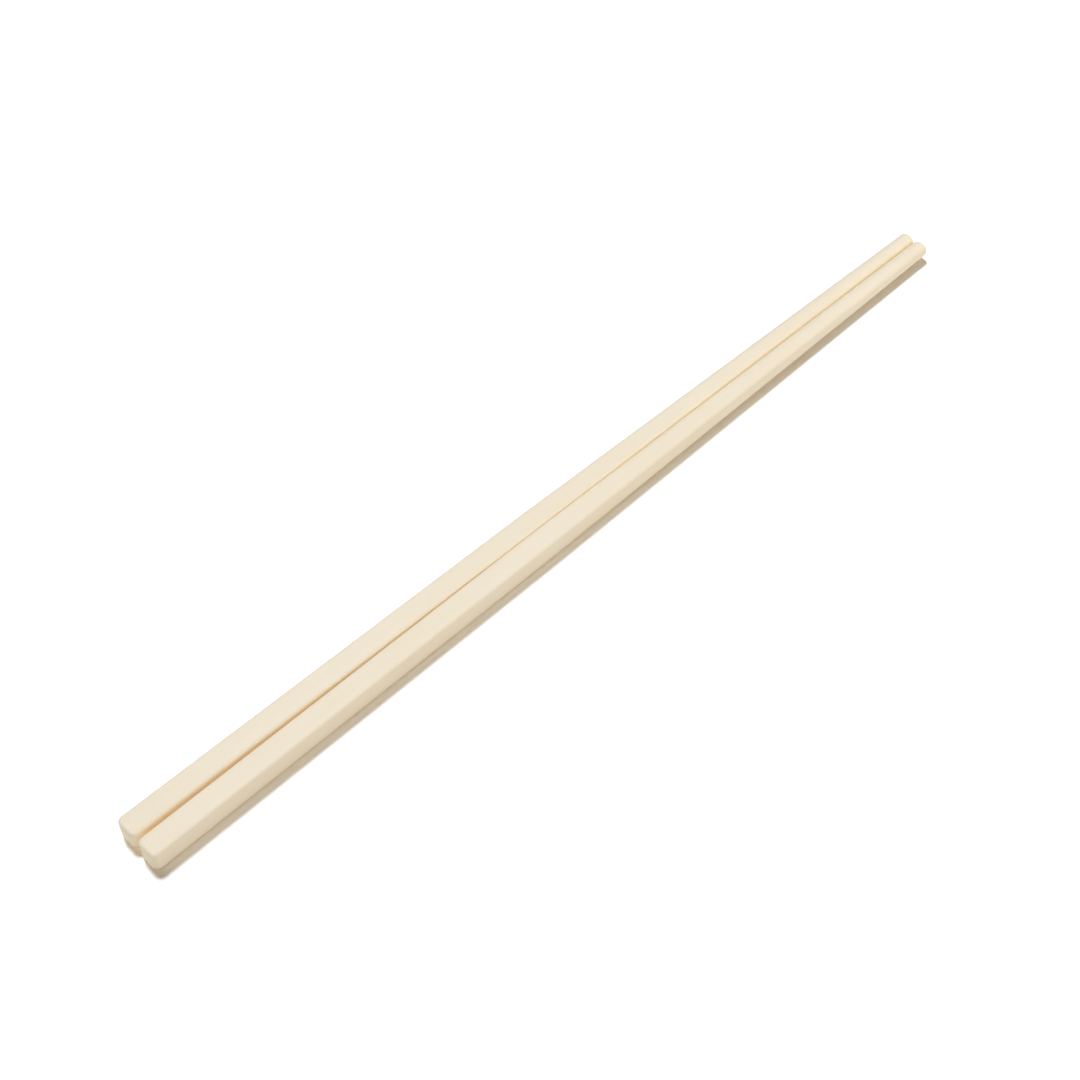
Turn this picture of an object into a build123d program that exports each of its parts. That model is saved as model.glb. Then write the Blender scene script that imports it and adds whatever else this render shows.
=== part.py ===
"""Pair of melamine chopsticks lying side by side.

Each stick is one moulding: a square handle with rounded edges and a slight draft, and a
lower half that tapers faster while its corners widen, until the tip is practically round.
The two lower halves lie side by side, which leaves the butts a little apart.

Millimetres, +Z up, +X from the butts to the tips, +Y from the front stick to the rear one.
The origin is on the table, under the middle of the pair.
"""

import os
from math import atan2, cos, degrees, sin

from build123d import *

# One stick, along its length
stick_length = 270.0
handle_length = 122.0  # from the butt to the shoulder, where the faster taper starts

# One stick, across its flats
butt_width = 6.2
shoulder_width = 6.0
tip_width = 4.5
tip_flat = 0.25  # what is left of each flat at the tip

# Radii
handle_rounding = 0.75  # along the handle's four corners and on round its butt
butt_rounding = 1.6  # of the butt's two upright edges
tip_rounding = 1.0  # round the rim of the tip

# The pair as it lies
side_clearance = 0.05  # between the two sticks where they lie closest

# Slope of each side against the stick's axis, in radians: of the handle, of the lower half,
# and of the straight line from butt to tip
handle_slope = atan2((butt_width - shoulder_width) / 2, handle_length)
lower_slope = atan2((shoulder_width - tip_width) / 2, stick_length - handle_length)
whole_slope = atan2((butt_width - tip_width) / 2, stick_length)

# A stick rests on its handle's underside, and its lower half lies along the other stick. With a
# shoulder so slim that its sides were hollow, butt and tip would touch instead.
dip = min(handle_slope, whole_slope)
turn = max(lower_slope, whole_slope)


def lying_plane(side):
    """Plane of a stick's axis as it lies: origin at the butt, x to the tip, z upwards."""
    tip_y = side_clearance / 2 + tip_width / 2 * cos(turn)
    butt_y = tip_y + stick_length * cos(dip) * sin(turn)
    butt_centre = (-stick_length / 2, side * butt_y, butt_width / 2 * cos(dip))
    return Plane(butt_centre).rotated((-side * degrees(turn), degrees(dip), 0), Intrinsic.ZYX)


os.makedirs("parts", exist_ok=True)

for stick_name, side in (("front_chopstick", -1), ("rear_chopstick", 1)):
    from_above = lying_plane(side)
    from_the_side = Plane(from_above.origin, x_dir=from_above.x_dir, z_dir=from_above.y_dir)
    from_the_butt = Plane(from_above.origin, x_dir=from_above.y_dir, z_dir=from_above.x_dir)

    with BuildPart() as chopstick:
        # Handle: the same tapered outline from above and from the side, crossed
        for view, mode in ((from_above, Mode.ADD), (from_the_side, Mode.INTERSECT)):
            with BuildSketch(view) as outline:
                with BuildLine():
                    Polyline(
                        (0, -butt_width / 2),
                        (handle_length, -shoulder_width / 2),
                        (handle_length, shoulder_width / 2),
                        (0, butt_width / 2),
                        close=True,
                    )
                make_face()
                if view is from_above:
                    fillet(outline.vertices().group_by(Axis.X)[0], butt_rounding)
            extrude(amount=butt_width, both=True, mode=mode)
        shoulder = chopstick.faces().sort_by(Axis.X)[-1]
        flats = chopstick.faces().sort_by(Axis.Z)
        fillet((flats[0].edges() + flats[-1].edges()) - shoulder.edges(), handle_rounding)

        # Lower half: from the shoulder's rounded square to the tip, whose corners nearly meet
        add(chopstick.faces().sort_by(Axis.X)[-1])
        with BuildSketch(from_the_butt.offset(stick_length)):
            RectangleRounded(tip_width, tip_width, (tip_width - tip_flat) / 2)
        loft(ruled=True)
        fillet(chopstick.faces().sort_by(Axis.X)[-1].edges(), tip_rounding)

    chopstick.part.label = stick_name
    export_step(chopstick.part, f"parts/{stick_name}.step")
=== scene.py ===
"""Studio view of a pair of ivory melamine chopsticks lying side by side on a white table.

Lengths are metres in the part's own frame: +Z up, +X from the butts to the tips, the front stick
on the -Y side. Each stick is one moulding, built here as a fine quad mesh that follows its solid.
"""

import logging
import math
from dataclasses import dataclass, field
from enum import Enum

import bmesh
import bpy
from mathutils import Matrix, Vector


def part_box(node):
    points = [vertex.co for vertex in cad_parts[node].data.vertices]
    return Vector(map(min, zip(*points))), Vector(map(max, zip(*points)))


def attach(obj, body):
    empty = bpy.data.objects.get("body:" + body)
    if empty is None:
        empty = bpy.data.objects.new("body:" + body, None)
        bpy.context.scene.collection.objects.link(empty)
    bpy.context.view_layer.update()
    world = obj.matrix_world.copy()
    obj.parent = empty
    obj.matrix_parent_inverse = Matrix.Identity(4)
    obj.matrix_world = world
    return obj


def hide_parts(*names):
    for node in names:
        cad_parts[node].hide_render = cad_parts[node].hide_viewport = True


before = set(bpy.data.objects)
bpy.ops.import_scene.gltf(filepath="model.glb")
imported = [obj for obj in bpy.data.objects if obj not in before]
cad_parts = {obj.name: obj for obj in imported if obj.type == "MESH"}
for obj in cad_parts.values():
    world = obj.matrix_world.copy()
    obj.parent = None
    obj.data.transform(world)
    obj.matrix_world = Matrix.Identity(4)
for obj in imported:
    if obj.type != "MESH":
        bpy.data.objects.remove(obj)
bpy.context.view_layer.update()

MM = 0.001
WHITE = (1.0, 1.0, 1.0)

# Noise values between which each pattern fades in
CLOUD_FADE = (0.35, 0.65)
FLECK_FADE = (0.55, 0.75)
LINE_FADE = (0.3, 0.7)

# Finer layers of the noise, in the larger patterns and in the smallest ones
LARGE_DETAIL = 2.0
SMALL_DETAIL = 1.0

Triple = tuple[float, float, float]
Verts = list[bmesh.types.BMVert]
log = logging.getLogger("chopsticks")


def opaque(colour: Triple) -> tuple[float, float, float, float]:
    """The colour as a socket takes it, with full cover."""
    return (*colour, 1.0)


class NodeSheet:
    """A node tree with short calls for adding and joining its nodes."""

    def __init__(self, tree: bpy.types.NodeTree) -> None:
        """Takes the tree that the calls work on."""
        self.tree = tree

    def add(
        self, kind: str, values: dict[str, object] | None = None, **settings: object
    ) -> bpy.types.Node:
        """Adds a node.

        Args:
            kind: Blender's name of the node type.
            values: Default values of input sockets, by socket name.
            settings: Attributes of the node itself.

        Returns:
            The new node.
        """
        node = self.tree.nodes.new(kind)
        for name, value in settings.items():
            setattr(node, name, value)
        for name, value in (values or {}).items():
            node.inputs[name].default_value = value
        return node

    def join(self, source: bpy.types.NodeSocket, target: bpy.types.NodeSocket) -> None:
        """Links an output socket to an input socket."""
        self.tree.links.new(source, target)

    def math(
        self, operation: str, first: bpy.types.NodeSocket, second: bpy.types.NodeSocket
    ) -> bpy.types.NodeSocket:
        """Adds a math node.

        Args:
            operation: Blender's name of the operation.
            first: First operand.
            second: Second operand.

        Returns:
            The result's socket.
        """
        node = self.add("ShaderNodeMath", operation=operation)
        self.join(first, node.inputs[0])
        self.join(second, node.inputs[1])
        return node.outputs[0]

    def blend(
        self, share: bpy.types.NodeSocket, first: bpy.types.NodeSocket, second: bpy.types.NodeSocket
    ) -> bpy.types.NodeSocket:
        """Mixes two colours.

        Args:
            share: Share of the second colour, 0 to 1.
            first: Colour at share 0.
            second: Colour at share 1.

        Returns:
            The mixed colour's socket.
        """
        node = self.add("ShaderNodeMix", data_type="RGBA")
        colours = [socket for socket in node.inputs if socket.type == "RGBA"]
        self.join(share, node.inputs[0])
        self.join(first, colours[0])
        self.join(second, colours[1])
        return next(socket for socket in node.outputs if socket.type == "RGBA")


class EffectGroup(Enum):
    """Shader node groups that the finishes share."""

    RESIN_TONE = "resin_tone"
    MOULDED_SKIN = "moulded_skin"

    def tree(self) -> bpy.types.NodeTree:
        """Finds the group, and builds it on first use.

        Returns:
            The group's node tree.
        """
        found = bpy.data.node_groups.get(self.value)
        if found:
            return found
        builders = {
            EffectGroup.RESIN_TONE: build_resin_tone,
            EffectGroup.MOULDED_SKIN: build_moulded_skin,
        }
        return builders[self](self.value)

    def place(self, sheet: NodeSheet, values: dict[str, object]) -> bpy.types.Node:
        """Puts the group into a material.

        Args:
            sheet: The material's nodes.
            values: The group's inputs, by name.

        Returns:
            The group node.
        """
        node = sheet.add("ShaderNodeGroup", node_tree=self.tree())
        for name, value in values.items():
            node.inputs[name].default_value = value
        return node


def new_group(
    name: str, inputs: dict[str, str], outputs: dict[str, str]
) -> tuple[NodeSheet, bpy.types.Node, bpy.types.Node]:
    """Makes an empty shader node group with named sockets.

    Args:
        name: The group's name.
        inputs: Socket types of the inputs, by name.
        outputs: Socket types of the outputs, by name.

    Returns:
        The group's node sheet, its input node and its output node.
    """
    tree = bpy.data.node_groups.new(name, "ShaderNodeTree")
    for in_out, sockets in (("INPUT", inputs), ("OUTPUT", outputs)):
        for socket_name, socket_type in sockets.items():
            tree.interface.new_socket(name=socket_name, in_out=in_out, socket_type=socket_type)
    sheet = NodeSheet(tree)
    return sheet, sheet.add("NodeGroupInput"), sheet.add("NodeGroupOutput")


def drifted_place(sheet: NodeSheet, drift: bpy.types.NodeSocket) -> bpy.types.NodeSocket:
    """The place on the piece, in its own metres, moved so that no two pieces look alike.

    Args:
        sheet: Nodes of the group.
        drift: Vector socket to move by.

    Returns:
        Vector socket.
    """
    place = sheet.add("ShaderNodeTexCoord")
    moved = sheet.add("ShaderNodeVectorMath", operation="ADD")
    sheet.join(place.outputs["Object"], moved.inputs[0])
    sheet.join(drift, moved.inputs[1])
    return moved.outputs[0]


def noise(
    sheet: NodeSheet, place: bpy.types.NodeSocket, size: bpy.types.NodeSocket, detail: float
) -> bpy.types.NodeSocket:
    """Fractal noise with features of a given size.

    Args:
        sheet: Nodes of the group.
        place: Where the noise is read.
        size: Feature size in metres.
        detail: Number of finer layers.

    Returns:
        Value socket, about 0 to 1 with its middle at 0.5.
    """
    texture = sheet.add("ShaderNodeTexNoise", {"Detail": detail})
    inverse = sheet.add("ShaderNodeMath", operation="DIVIDE")
    inverse.inputs[0].default_value = 1.0
    sheet.join(size, inverse.inputs[1])
    sheet.join(place, texture.inputs["Vector"])
    sheet.join(inverse.outputs[0], texture.inputs["Scale"])
    return texture.outputs[0]


def ramp(
    sheet: NodeSheet, value: bpy.types.NodeSocket, fade: tuple[float, float]
) -> bpy.types.NodeSocket:
    """Maps a value smoothly to 0 at the fade's start and 1 at its end.

    Args:
        sheet: Nodes of the group.
        value: Value to map.
        fade: Values that give 0 and 1.

    Returns:
        Value socket, 0 to 1.
    """
    ends = {"From Min": fade[0], "From Max": fade[1]}
    node = sheet.add("ShaderNodeMapRange", ends, interpolation_type="SMOOTHSTEP")
    sheet.join(value, node.inputs["Value"])
    return node.outputs[0]


def build_resin_tone(name: str) -> bpy.types.NodeTree:
    """Builds the colour of moulded resin: broad clouding, and fine flecks of its filler.

    Args:
        name: The group's name.

    Returns:
        The group's node tree.
    """
    sheet, taken, given = new_group(
        name,
        {
            "Clear Tone": "NodeSocketColor",
            "Cloudy Tone": "NodeSocketColor",
            "Fleck Tone": "NodeSocketColor",
            "Cloud Size": "NodeSocketFloat",
            "Fleck Size": "NodeSocketFloat",
            "Drift": "NodeSocketVector",
        },
        {"Tone": "NodeSocketColor"},
    )
    place = drifted_place(sheet, taken.outputs["Drift"])
    clouds = noise(sheet, place, taken.outputs["Cloud Size"], LARGE_DETAIL)
    cloud = ramp(sheet, clouds, CLOUD_FADE)
    flecks = noise(sheet, place, taken.outputs["Fleck Size"], SMALL_DETAIL)
    fleck = ramp(sheet, flecks, FLECK_FADE)
    clouded = sheet.blend(cloud, taken.outputs["Clear Tone"], taken.outputs["Cloudy Tone"])
    flecked = sheet.blend(fleck, clouded, taken.outputs["Fleck Tone"])
    sheet.join(flecked, given.inputs["Tone"])
    return sheet.tree


def build_moulded_skin(name: str) -> bpy.types.NodeTree:
    """Builds the skin that a polished mould leaves: lengthwise polishing lines over a fine grain.

    Args:
        name: The group's name.

    Returns:
        The group's node tree.
    """
    sheet, taken, given = new_group(
        name,
        {
            "Satin": "NodeSocketFloat",
            "Dull": "NodeSocketFloat",
            "Line Stretch": "NodeSocketVector",
            "Line Size": "NodeSocketFloat",
            "Grain Size": "NodeSocketFloat",
            "Drift": "NodeSocketVector",
        },
        {"Roughness": "NodeSocketFloat", "Height": "NodeSocketFloat"},
    )
    place = drifted_place(sheet, taken.outputs["Drift"])
    stretched = sheet.add("ShaderNodeVectorMath", operation="MULTIPLY")
    sheet.join(place, stretched.inputs[0])
    sheet.join(taken.outputs["Line Stretch"], stretched.inputs[1])
    lines = noise(sheet, stretched.outputs[0], taken.outputs["Line Size"], LARGE_DETAIL)
    grain = noise(sheet, place, taken.outputs["Grain Size"], SMALL_DETAIL)
    dullness = sheet.add("ShaderNodeMapRange")
    sheet.join(ramp(sheet, lines, LINE_FADE), dullness.inputs["Value"])
    sheet.join(taken.outputs["Satin"], dullness.inputs["To Min"])
    sheet.join(taken.outputs["Dull"], dullness.inputs["To Max"])
    sheet.join(dullness.outputs[0], given.inputs["Roughness"])
    sheet.join(sheet.math("ADD", lines, grain), given.inputs["Height"])
    return sheet.tree


@dataclass(frozen=True)
class MelamineFinish:
    """Satin ivory melamine.

    Attributes:
        name: The material's name.
        drift: Offset of the patterns, so that the two sticks differ.
        clear: Main colour of the resin, linear.
        cloudy: Colour where it is slightly cloudy.
        fleck: Colour of the fine filler in it.
        cloud_size: Size of the clouding.
        fleck_size: Size of the filler's flecks.
        satin: Roughness on the polishing lines.
        dull: Roughness between them.
        line_stretch: How the polishing lines run along the stick, as a scale of each axis.
        line_size: Width of a polishing line.
        grain_size: Size of the fine grain.
        relief: Height of lines and grain.
        specular: How strongly the skin mirrors, 0.5 for plain plastic.
    """

    name: str
    drift: Triple
    clear: Triple = (0.970, 0.884, 0.700)
    cloudy: Triple = (0.963, 0.868, 0.678)
    fleck: Triple = (0.977, 0.896, 0.718)
    cloud_size: float = 22 * MM
    fleck_size: float = 0.6 * MM
    satin: float = 0.5
    dull: float = 0.6
    line_stretch: Triple = (0.04, 1.0, 1.0)
    line_size: float = 0.8 * MM
    grain_size: float = 0.45 * MM
    relief: float = 0.004 * MM
    specular: float = 0.35

    def material(self) -> bpy.types.Material:
        """Builds the material.

        Returns:
            The new material.
        """
        material = bpy.data.materials.new(self.name)
        material.use_nodes = True
        sheet = NodeSheet(material.node_tree)
        surface = material.node_tree.nodes["Principled BSDF"]
        surface.inputs["Specular IOR Level"].default_value = self.specular
        tone = EffectGroup.RESIN_TONE.place(sheet, {
            "Clear Tone": opaque(self.clear),
            "Cloudy Tone": opaque(self.cloudy),
            "Fleck Tone": opaque(self.fleck),
            "Cloud Size": self.cloud_size,
            "Fleck Size": self.fleck_size,
            "Drift": self.drift,
        })
        skin = EffectGroup.MOULDED_SKIN.place(sheet, {
            "Satin": self.satin,
            "Dull": self.dull,
            "Line Stretch": self.line_stretch,
            "Line Size": self.line_size,
            "Grain Size": self.grain_size,
            "Drift": self.drift,
        })
        bump = sheet.add("ShaderNodeBump", {"Strength": 1.0, "Distance": self.relief})
        sheet.join(tone.outputs["Tone"], surface.inputs["Base Color"])
        sheet.join(skin.outputs["Roughness"], surface.inputs["Roughness"])
        sheet.join(skin.outputs["Height"], bump.inputs["Height"])
        sheet.join(bump.outputs["Normal"], surface.inputs["Normal"])
        return material


class Side(Enum):
    """Which stick of the pair: its name, and its side of the middle plane along Y."""

    FRONT = ("front", -1)
    REAR = ("rear", 1)

    @property
    def node(self) -> str:
        """Name of the stick's solid."""
        return f"{self.value[0]}_chopstick"

    @property
    def piece(self) -> str:
        """Name of the stick's own piece in the scene."""
        return f"{self.value[0]}_stick"

    @property
    def sign(self) -> int:
        """Sign of the stick's Y."""
        return self.value[1]


def fill_strips(mesh: bmesh.types.BMesh, rows: list[Verts]) -> None:
    """Joins neighbouring rows of vertices with quads.

    Args:
        mesh: Mesh to add to.
        rows: Rows with the same number of vertices.
    """
    for low, high in zip(rows, rows[1:]):
        for i in range(len(low) - 1):
            mesh.faces.new((low[i], low[i + 1], high[i + 1], high[i]))


def fill_patch(mesh: bmesh.types.BMesh, near: Verts, far: Verts, left: Verts, right: Verts) -> None:
    """Fills a four-sided opening with a grid of quads, spaced as its sides are.

    Args:
        mesh: Mesh to add to.
        near: First side, from left to right.
        far: Opposite side, from left to right.
        left: Side that joins the starts of near and far.
        right: Side that joins their ends.
    """
    across, along = len(near) - 1, len(left) - 1
    rows = [near]
    for j in range(1, along):
        t = j / along
        row = [left[j]]
        for i in range(1, across):
            s = i / across
            ends = near[i].co.lerp(far[i].co, t)
            sides = left[j].co.lerp(right[j].co, s)
            corners = near[0].co.lerp(near[-1].co, s).lerp(far[0].co.lerp(far[-1].co, s), t)
            row.append(mesh.verts.new(ends + sides - corners))
        rows.append(row + [right[j]])
    fill_strips(mesh, rows + [far])


@dataclass
class Chopstick:
    """One stick: a square handle with rounded edges, and a lower half that tapers to a round tip.

    Its length, butt width and place come from the stick's solid.

    Attributes:
        side: Which stick of the pair.
        finish: What it is made of.
        handle_length: From the butt to the shoulder, where the faster taper starts.
        shoulder_width: Across the flats at the shoulder.
        tip_width: Across the flats at the tip.
        tip_flat: What is left of each flat at the tip.
        handle_rounding: Radius along the handle's corners, and on round its butt.
        butt_rounding: Radius of the butt's two upright edges.
        tip_rounding: Radius round the rim of the tip.
        side_clearance: Between the two sticks where they lie closest.
        station_step: Longest face along the stick.
        corner_steps: Faces in each rounding.
        flat_steps: Faces across each flat.
        low: Lowest corner of the box of the stick's solid.
        high: Highest corner of it.
    """

    side: Side
    finish: MelamineFinish
    handle_length: float = 122 * MM
    shoulder_width: float = 6.0 * MM
    tip_width: float = 4.5 * MM
    tip_flat: float = 0.25 * MM
    handle_rounding: float = 0.75 * MM
    butt_rounding: float = 1.6 * MM
    tip_rounding: float = 1.0 * MM
    side_clearance: float = 0.05 * MM
    station_step: float = 3.0 * MM
    corner_steps: int = 8
    flat_steps: int = 6
    low: Vector = field(init=False)
    high: Vector = field(init=False)

    def __post_init__(self) -> None:
        """Reads the box of the stick's solid."""
        self.low, self.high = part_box(self.side.node)

    @property
    def length(self) -> float:
        """Butt to tip."""
        return self.high.x - self.low.x

    @property
    def butt_width(self) -> float:
        """Width across the flats at the butt, which is the highest place."""
        return self.high.z - self.low.z

    @property
    def lower_length(self) -> float:
        """Shoulder to tip."""
        return self.length - self.handle_length

    def placement(self) -> Matrix:
        """Where the stick lies: on its handle's underside, its lower half along the other stick.

        Returns:
            Matrix from the stick's own frame, x along its axis from the butt, to the part's.
        """
        turn = math.atan2((self.shoulder_width - self.tip_width) / 2, self.lower_length)
        dip = math.atan2((self.butt_width - self.shoulder_width) / 2, self.handle_length)
        tip_y = (self.side_clearance + self.tip_width * math.cos(turn)) / 2
        butt_y = tip_y + self.length * math.cos(dip) * math.sin(turn)
        butt = Vector((self.low.x, self.side.sign * butt_y, self.low.z + self.butt_width / 2))
        turned = Matrix.Rotation(-self.side.sign * turn, 4, "Z")
        dipped = Matrix.Rotation(dip, 4, "Y")
        return Matrix.Translation(butt) @ turned @ dipped

    def half_width(self, x: float) -> float:
        """Half the width across the flats.

        Args:
            x: Place along the axis.

        Returns:
            The half width there.
        """
        if x < self.handle_length:
            share = x / self.handle_length
            return (self.butt_width + (self.shoulder_width - self.butt_width) * share) / 2
        share = (x - self.handle_length) / self.lower_length
        return (self.shoulder_width + (self.tip_width - self.shoulder_width) * share) / 2

    def corner_radius(self, x: float) -> float:
        """Radius of the four long corners.

        Args:
            x: Place along the axis.

        Returns:
            The radius there, which grows from the shoulder to the tip.
        """
        share = max(0.0, (x - self.handle_length) / self.lower_length)
        tip_radius = (self.tip_width - self.tip_flat) / 2
        return self.handle_rounding + (tip_radius - self.handle_rounding) * share

    def quarter(self) -> list[float]:
        """Angles of a rounding's steps, from 0 to a right angle."""
        return [math.radians(90 * i / self.corner_steps) for i in range(self.corner_steps + 1)]

    def stations(self) -> list[tuple[float, float]]:
        """Places of the rings along the axis, from where the butt's rounding ends.

        Returns:
            Pairs of x and the inset by which the tip's rounding narrows the ring there.
        """
        tip_start = self.length - self.tip_rounding
        stations = [(self.butt_rounding, 0.0)]
        for start, end in ((self.butt_rounding, self.handle_length), (self.handle_length, tip_start)):
            count = math.ceil((end - start) / self.station_step)
            stations += [(start + (end - start) * i / count, 0.0) for i in range(1, count + 1)]
        for angle in self.quarter()[1:]:
            x = tip_start + self.tip_rounding * math.sin(angle)
            stations.append((x, self.tip_rounding * (1 - math.cos(angle))))
        return stations

    def section(self, x: float, inset: float) -> list[Vector]:
        """One ring of points, a square with rounded corners.

        Args:
            x: Place along the axis.
            inset: How far the tip's rounding narrows it.

        Returns:
            The points, in one order on every ring: a corner's arc, then the next flat, four times.
        """
        radius = self.corner_radius(x) - inset
        reach = self.half_width(x) - inset - radius
        middle = Vector((x, 0, 0))
        points: list[Vector] = []
        for corner in range(4):
            turned = Matrix.Rotation(math.radians(90 * corner), 3, "X")
            for angle in self.quarter():
                arc = Vector((0, reach + radius * math.cos(angle), reach + radius * math.sin(angle)))
                points.append(middle + turned @ arc)
            for i in range(1, self.flat_steps):
                along = reach * (1 - 2 * i / self.flat_steps)
                points.append(middle + turned @ Vector((0, along, reach + radius)))
        return points

    def butt_column(self, upright: Verts, angle: float, share: float) -> list[Vector]:
        """The handle's upright side profile, carried to a place on its way round the butt.

        Args:
            upright: The profile where the way starts, on the +y side.
            angle: How far it has turned, 0 to a half turn.
            share: How far it has gone across the butt, 0 to 1.

        Returns:
            A point for every vertex of the profile.
        """
        reach = self.half_width(self.butt_rounding) - self.butt_rounding
        points: list[Vector] = []
        for vertex in upright:
            radius = vertex.co.y - reach
            y = reach * (1 - 2 * share) + radius * math.cos(angle)
            points.append(Vector((self.butt_rounding - radius * math.sin(angle), y, vertex.co.z)))
        return points

    def close_butt(self, mesh: bmesh.types.BMesh, ring: Verts) -> None:
        """Closes the butt: the upright sides run on round it, between two flats.

        Args:
            mesh: Mesh to add to.
            ring: The first ring, where the butt's rounding ends.
        """
        steps, per_corner = self.corner_steps, self.corner_steps + self.flat_steps
        last = per_corner + steps
        # The ring's +y side and its -y side, each from the underside up to the top
        start = [ring[(3 * per_corner + i) % len(ring)] for i in range(last + 1)]
        end = [ring[2 * per_corner + steps - i] for i in range(last + 1)]
        # The way between them: one upright edge, the end face, the other upright edge
        way = [(angle, 0.0) for angle in self.quarter()[1:]]
        way += [(math.pi / 2, i / self.flat_steps) for i in range(1, self.flat_steps + 1)]
        way += [(math.pi / 2 + angle, 1.0) for angle in self.quarter()[1:-1]]
        columns = [start]
        for angle, share in way:
            column = self.butt_column(start, angle, share)
            columns.append([mesh.verts.new(point) for point in column])
        columns.append(end)
        fill_strips(mesh, columns)
        top_flat = ring[steps:per_corner + 1]
        under_flat = ring[2 * per_corner + steps:3 * per_corner + 1][::-1]
        for flat, level in ((top_flat, last), (under_flat, 0)):
            rim = [column[level] for column in columns]
            far = rim[steps:len(rim) - steps]
            fill_patch(mesh, flat, far, rim[:steps + 1], rim[::-1][:steps + 1])

    def close_tip(self, mesh: bmesh.types.BMesh, ring: Verts) -> None:
        """Closes the tip with its small flat end.

        Args:
            mesh: Mesh to add to.
            ring: The last ring, where the tip's rounding ends.
        """
        half_corner, side = self.corner_steps // 2, len(ring) // 4
        rim = ring[half_corner:] + ring[:half_corner + 1]
        near, right = rim[:side + 1], rim[side:2 * side + 1]
        far, left = rim[2 * side:3 * side + 1][::-1], rim[3 * side:][::-1]
        fill_patch(mesh, near, far, left, right)

    def build(self) -> bpy.types.Object:
        """Builds the stick's mesh in its place.

        Returns:
            The new object, named for the stick.
        """
        mesh = bmesh.new()
        rings = [
            [mesh.verts.new(point) for point in self.section(x, inset)]
            for x, inset in self.stations()
        ]
        fill_strips(mesh, [ring + ring[:1] for ring in rings])
        self.close_butt(mesh, rings[0])
        self.close_tip(mesh, rings[-1])
        bmesh.ops.recalc_face_normals(mesh, faces=mesh.faces)
        for face in mesh.faces:
            face.smooth = True
        mesh.transform(self.placement())
        data = bpy.data.meshes.new(self.side.node)
        mesh.to_mesh(data)
        mesh.free()
        stick = bpy.data.objects.new(self.side.piece, data)
        bpy.context.scene.collection.objects.link(stick)
        stick.modifiers.new("even_normals", "WEIGHTED_NORMAL")
        return stick

    def dress(self, stick: bpy.types.Object) -> None:
        """Gives the stick its finish, and lets it stand for its solid.

        Args:
            stick: The built object.
        """
        stick.data.materials.append(self.finish.material())
        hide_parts(self.side.node)
        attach(stick, "root")


class LampKind(Enum):
    """How a lamp's light spreads."""

    SUN = "SUN"
    AREA = "AREA"


@dataclass(frozen=True)
class Lamp:
    """One studio lamp.

    Attributes:
        name: The lamp's name.
        kind: How its light spreads.
        towards: Direction from the object to the lamp.
        level: Brightness of a white card that faces it.
        colour: Its colour, linear.
        softness: A sun's angle in degrees, or an area's side.
        distance: From the object.
        flagged: Whether a flag keeps its light off the table.
    """

    name: str
    kind: LampKind
    towards: Triple
    level: float
    colour: Triple
    softness: float
    distance: float = 1.2
    flagged: bool = False

    def hang(self, pair: bpy.types.Collection) -> None:
        """Adds the lamp to the scene.

        Args:
            pair: The sticks, which is all that a flagged lamp lights.
        """
        data = bpy.data.lights.new(self.name, self.kind.value)
        data.color = self.colour
        # At level 1, either kind makes a white card that faces it render as white
        if self.kind is LampKind.SUN:
            data.energy = self.level * math.pi
            data.angle = math.radians(self.softness)
        else:
            data.energy = self.level * math.pi**2 * self.distance**2
            data.size = self.softness
        lamp = bpy.data.objects.new(self.name, data)
        away = Vector(self.towards).normalized()
        lamp.location = away * self.distance
        lamp.rotation_mode = "QUATERNION"
        lamp.rotation_quaternion = away.to_track_quat("Z", "Y")
        if self.flagged:
            lamp.light_linking.receiver_collection = pair
        bpy.context.scene.collection.objects.link(lamp)


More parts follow.
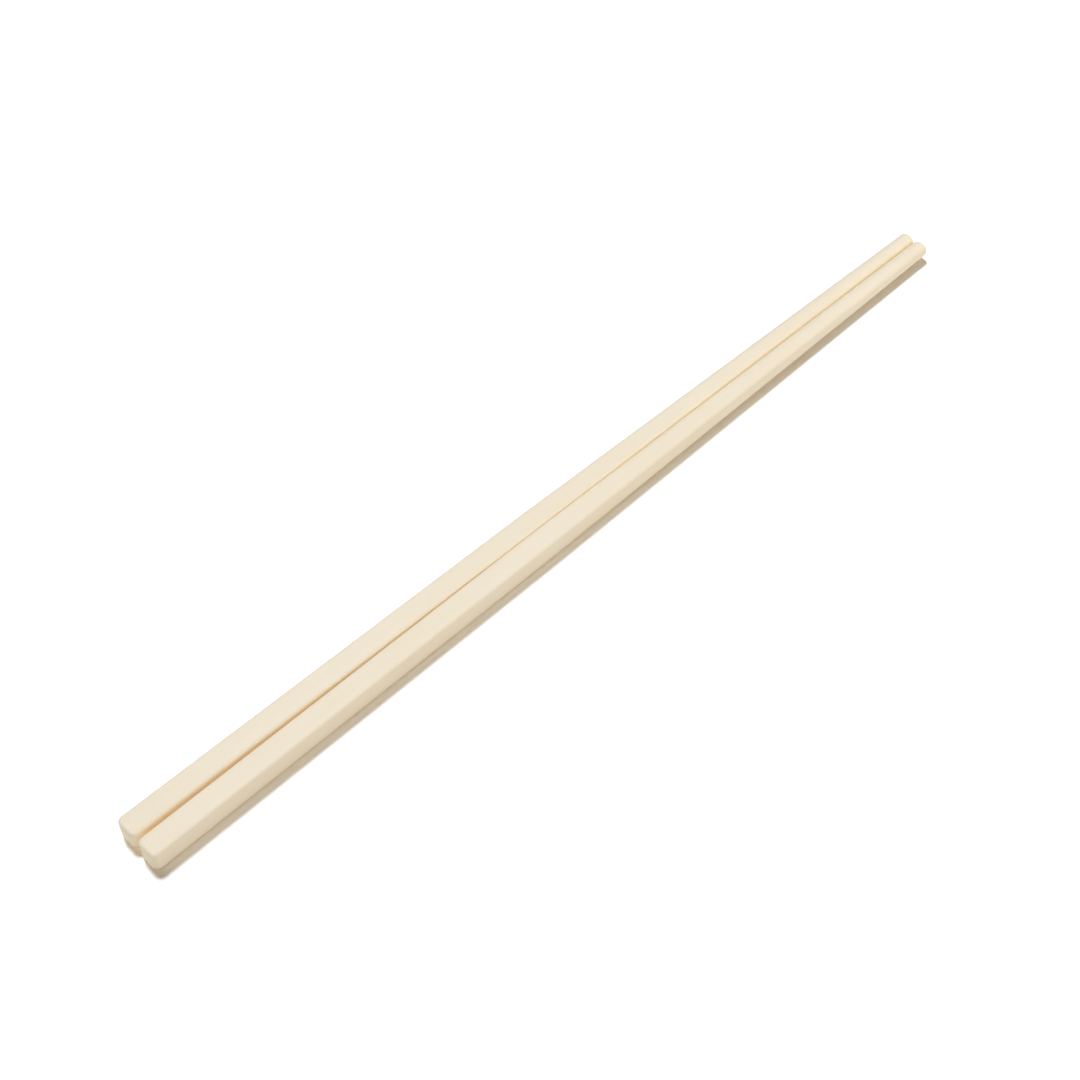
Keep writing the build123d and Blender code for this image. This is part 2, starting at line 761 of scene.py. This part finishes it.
@dataclass(frozen=True)
class Studio:
    """White table, white surround and soft lamps.

    Attributes:
        lamps: The lamps.
        surround_level: Brightness of the light from all round.
        surround_colour: Its colour, linear.
        table_side: Side of the table top.
        table_colour: Colour of the table top in its light on the sticks, linear.
        seen_colour: Its colour where it is seen, so that it is white outside the sticks' shadow.
        bounces: How often light is passed on between pale surfaces, as in the gap of the pair.
    """

    lamps: tuple[Lamp, ...]
    surround_level: float
    surround_colour: Triple
    table_side: float = 8.0
    table_colour: Triple = (0.97, 0.96, 0.94)
    seen_colour: Triple = (1.565, 1.602, 1.638)
    bounces: int = 64

    @staticmethod
    def show(sheet: NodeSheet, lighting: bpy.types.Node, seen: bpy.types.Node, output: str) -> None:
        """Puts out one shader where a thing is seen, and another for its light on the sticks.

        Args:
            sheet: Nodes of the material or world.
            lighting: Shader for its light.
            seen: Shader for camera, glossy and transmission rays.
            output: Name of the output node.
        """
        path = sheet.add("ShaderNodeLightPath")
        glossy, passing = path.outputs["Is Glossy Ray"], path.outputs["Is Transmission Ray"]
        mirrored = sheet.math("MAXIMUM", glossy, passing)
        either = sheet.add("ShaderNodeMixShader")
        sheet.join(sheet.math("MAXIMUM", path.outputs["Is Camera Ray"], mirrored), either.inputs[0])
        sheet.join(lighting.outputs[0], either.inputs[1])
        sheet.join(seen.outputs[0], either.inputs[2])
        sheet.join(either.outputs[0], sheet.tree.nodes[output].inputs["Surface"])

    def lay_table(self) -> None:
        """Adds the table top, which keeps the sticks' shadow."""
        data = bpy.data.meshes.new("table")
        half = self.table_side / 2
        corners = [(-half, -half, 0), (half, -half, 0), (half, half, 0), (-half, half, 0)]
        data.from_pydata(corners, [], [range(len(corners))])
        table = bpy.data.objects.new("table", data)
        bpy.context.scene.collection.objects.link(table)
        material = bpy.data.materials.new("white_table")
        material.use_nodes = True
        sheet = NodeSheet(material.node_tree)
        material.node_tree.nodes.remove(material.node_tree.nodes["Principled BSDF"])
        board = sheet.add("ShaderNodeBsdfDiffuse", {"Color": opaque(self.table_colour)})
        white = sheet.add("ShaderNodeBsdfDiffuse", {"Color": opaque(self.seen_colour)})
        self.show(sheet, board, white, "Material Output")
        data.materials.append(material)

    def set_surround(self) -> None:
        """Sets the light from all round, behind which the camera sees white."""
        world = bpy.data.worlds.new("surround")
        world.use_nodes = True
        sheet = NodeSheet(world.node_tree)
        light = world.node_tree.nodes["Background"]
        light.inputs["Color"].default_value = opaque(self.surround_colour)
        light.inputs["Strength"].default_value = self.surround_level
        white = sheet.add("ShaderNodeBackground", {"Color": opaque(WHITE), "Strength": 1.0})
        self.show(sheet, light, white, "World Output")
        bpy.context.scene.world = world

    def build(self, pair: bpy.types.Collection) -> None:
        """Adds the table, the surround and the lamps.

        Args:
            pair: The sticks that the lamps light.
        """
        self.lay_table()
        self.set_surround()
        for lamp in self.lamps:
            lamp.hang(pair)
        scene = bpy.context.scene
        scene.view_settings.view_transform = "Standard"
        scene.cycles.max_bounces = self.bounces
        scene.cycles.diffuse_bounces = self.bounces


@dataclass(frozen=True)
class Viewpoint:
    """Camera at the photograph's viewing angle.

    Attributes:
        elevation: Angle above the table, in degrees.
        heading: Direction of view in plan, in degrees from +Y towards +X.
        distance: From the aim.
        aim: Point at the middle of the picture.
        focal_pixels: Focal length in pixels of the picture.
        picture_pixels: Side of the picture.
        sensor: Side of the sensor, in millimetres as the camera takes it.
        near_limit: Closest distance that is seen.
    """

    elevation: float = 51.866
    heading: float = 44.640
    distance: float = 460 * MM
    aim: Triple = (-11.82 * MM, 0.27 * MM, 0.0)
    focal_pixels: float = 1866.0
    picture_pixels: float = 1080.0
    sensor: float = 36.0
    near_limit: float = 4.6 * MM

    def build(self) -> None:
        """Adds the camera and makes it the scene's."""
        up, heading = math.radians(self.elevation), math.radians(self.heading)
        level = math.cos(up)
        back = Vector((-math.sin(heading) * level, -math.cos(heading) * level, math.sin(up)))
        data = bpy.data.cameras.new("viewpoint")
        data.sensor_width = self.sensor
        data.lens = self.sensor * self.focal_pixels / self.picture_pixels
        data.clip_start = self.near_limit
        camera = bpy.data.objects.new("viewpoint", data)
        camera.location = Vector(self.aim) + back * self.distance
        camera.rotation_mode = "QUATERNION"
        camera.rotation_quaternion = back.to_track_quat("Z", "Y")
        bpy.context.scene.collection.objects.link(camera)
        bpy.context.scene.camera = camera


STICKS = (
    Chopstick(Side.FRONT, MelamineFinish("ivory_melamine_front", drift=(0.0, 0.0, 0.0))),
    Chopstick(Side.REAR, MelamineFinish("ivory_melamine_rear", drift=(0.4, 0.7, 0.2))),
)
STUDIO = Studio(
    lamps=(
        Lamp(
            "key",
            LampKind.SUN,
            towards=(0.17, 0.41, 1.0),
            level=0.635,
            colour=(0.875, 0.917, 0.991),
            softness=12.0,
        ),
        Lamp(
            "side_fill",
            LampKind.AREA,
            towards=(0.5, -0.78, 0.47),
            level=0.39,
            colour=(0.97, 0.937, 0.915),
            softness=0.5,
            distance=0.9,
            flagged=True,
        ),
        Lamp(
            "end_fill",
            LampKind.SUN,
            towards=(-1.0, -0.5, 0.15),
            level=0.34,
            colour=(1.0, 0.942, 0.840),
            softness=40.0,
            flagged=True,
        ),
    ),
    surround_level=0.15,
    surround_colour=(1.0, 0.777, 0.538),
)


def main() -> None:
    """Builds the pair, the studio and the camera, and logs each stick's face count."""
    logging.basicConfig(level=logging.INFO)
    pair = bpy.data.collections.new("pair")
    for stick in STICKS:
        piece = stick.build()
        stick.dress(piece)
        pair.objects.link(piece)
        log.info("%s: %d faces", piece.name, len(piece.data.polygons))
    STUDIO.build(pair)
    Viewpoint().build()


if __name__ == "__main__":
    main()
